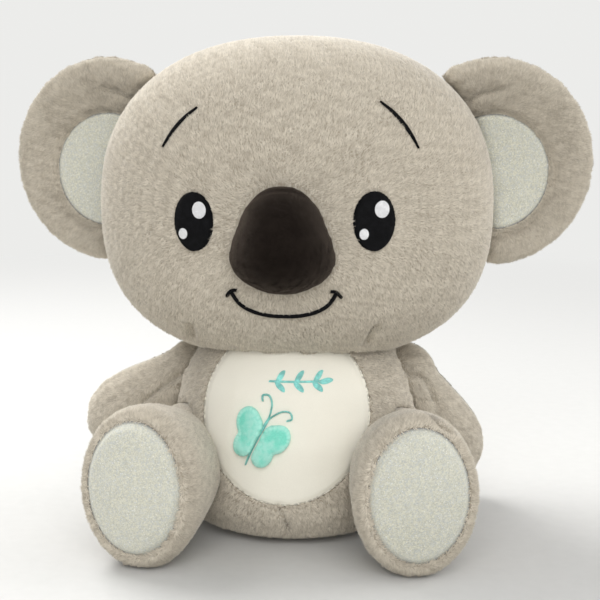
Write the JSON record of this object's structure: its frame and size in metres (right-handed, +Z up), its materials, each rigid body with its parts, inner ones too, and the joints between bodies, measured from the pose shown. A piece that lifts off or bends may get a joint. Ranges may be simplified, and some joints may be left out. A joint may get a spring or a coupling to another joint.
{
  "type": "plush koala",
  "caption": "Sitting stuffed koala in short grey plush with a large domed head, cupped round ears, a stuffed nose, a pale tummy panel, and a head and limbs that move at their seams.",
  "frame": {"origin": "middle of the flat underside of the body, where it rests on the seat", "axes": "+Z up, the face looks along -Y, the koala's own left side is at +X"},
  "size_m": [0.4914, 0.3016, 0.402],
  "materials": {
    "grey_plush": "short soft pile with a slight streaky nap",
    "silver_velour": "short pale pile with a fine sparkle",
    "cream_velour": "smooth short cream pile",
    "dark_nose_plush": "very short dark brown pile",
    "black_thread": "black satin stitch",
    "pale_thread": "pale satin stitch",
    "mint_satin": "padded mint satin",
    "teal_thread": "teal satin stitch",
    "white_fibre": "loose white polyester fibre"
  },
  "bodies": {
    "torso": {"body_skin": "grey_plush", "tummy_panel": "cream_velour", "body_filling": "white_fibre", "left_wing": "mint_satin", "right_wing": "mint_satin", "butterfly_stitching": "teal_thread", "leaf_sprig": "teal_thread"},
    "head": {"head_skin": "grey_plush", "head_filling": "white_fibre", "nose_cover": "dark_nose_plush", "nose_filling": "white_fibre", "mouth_stitching": "black_thread", "left_eye": "black_thread", "left_eye_upper_glint": "pale_thread", "left_eye_lower_glint": "pale_thread", "left_brow": "black_thread", "right_eye": "black_thread", "right_eye_upper_glint": "pale_thread", "right_eye_lower_glint": "pale_thread", "right_brow": "black_thread"},
    "left_ear": {"left_ear_skin": "grey_plush", "left_ear_patch": "silver_velour", "left_ear_wadding": "white_fibre"},
    "left_arm": {"left_arm_skin": "grey_plush", "left_arm_filling": "white_fibre"},
    "left_leg": {"left_leg_skin": "grey_plush", "left_sole": "silver_velour", "left_leg_filling": "white_fibre"},
    "right_ear": {"right_ear_skin": "grey_plush", "right_ear_patch": "silver_velour", "right_ear_wadding": "white_fibre"},
    "right_arm": {"right_arm_skin": "grey_plush", "right_arm_filling": "white_fibre"},
    "right_leg": {"right_leg_skin": "grey_plush", "right_sole": "silver_velour", "right_leg_filling": "white_fibre"}
  },
  "joints": [
    {"name": "head_turn", "type": "hinge", "parent": "torso", "child": "head", "pos_m": [0, 0, 0.19], "axis": [0, 0, 1], "range_deg": [-30, 30], "stiffness_Nm_per_rad": 0.6},
    {"name": "left_ear_fold", "type": "hinge", "parent": "head", "child": "left_ear", "pos_m": [0.144, 0.035, 0.298], "axis": [-0.1908, 0, 0.9816], "range_deg": [-12, 12], "stiffness_Nm_per_rad": 0.12},
    {"name": "right_ear_fold", "type": "hinge", "parent": "head", "child": "right_ear", "pos_m": [-0.144, 0.035, 0.298], "axis": [0.1908, 0, 0.9816], "range_deg": [-12, 12], "stiffness_Nm_per_rad": 0.12},
    {"name": "left_arm_swing", "type": "hinge", "parent": "torso", "child": "left_arm", "pos_m": [0.08953, 0.012, 0.1152], "axis": [1, 0, 0], "range_deg": [0, 45], "stiffness_Nm_per_rad": 0.2},
    {"name": "right_arm_swing", "type": "hinge", "parent": "torso", "child": "right_arm", "pos_m": [-0.08953, 0.012, 0.1152], "axis": [1, 0, 0], "range_deg": [0, 45], "stiffness_Nm_per_rad": 0.2},
    {"name": "left_leg_lift", "type": "hinge", "parent": "torso", "child": "left_leg", "pos_m": [0.08346, -0.04532, 0.0615], "axis": [-1, 0, 0], "range_deg": [0, 25], "stiffness_Nm_per_rad": 0.2},
    {"name": "right_leg_lift", "type": "hinge", "parent": "torso", "child": "right_leg", "pos_m": [-0.08346, -0.04532, 0.0615], "axis": [-1, 0, 0], "range_deg": [0, 25], "stiffness_Nm_per_rad": 0.2}
  ]
}
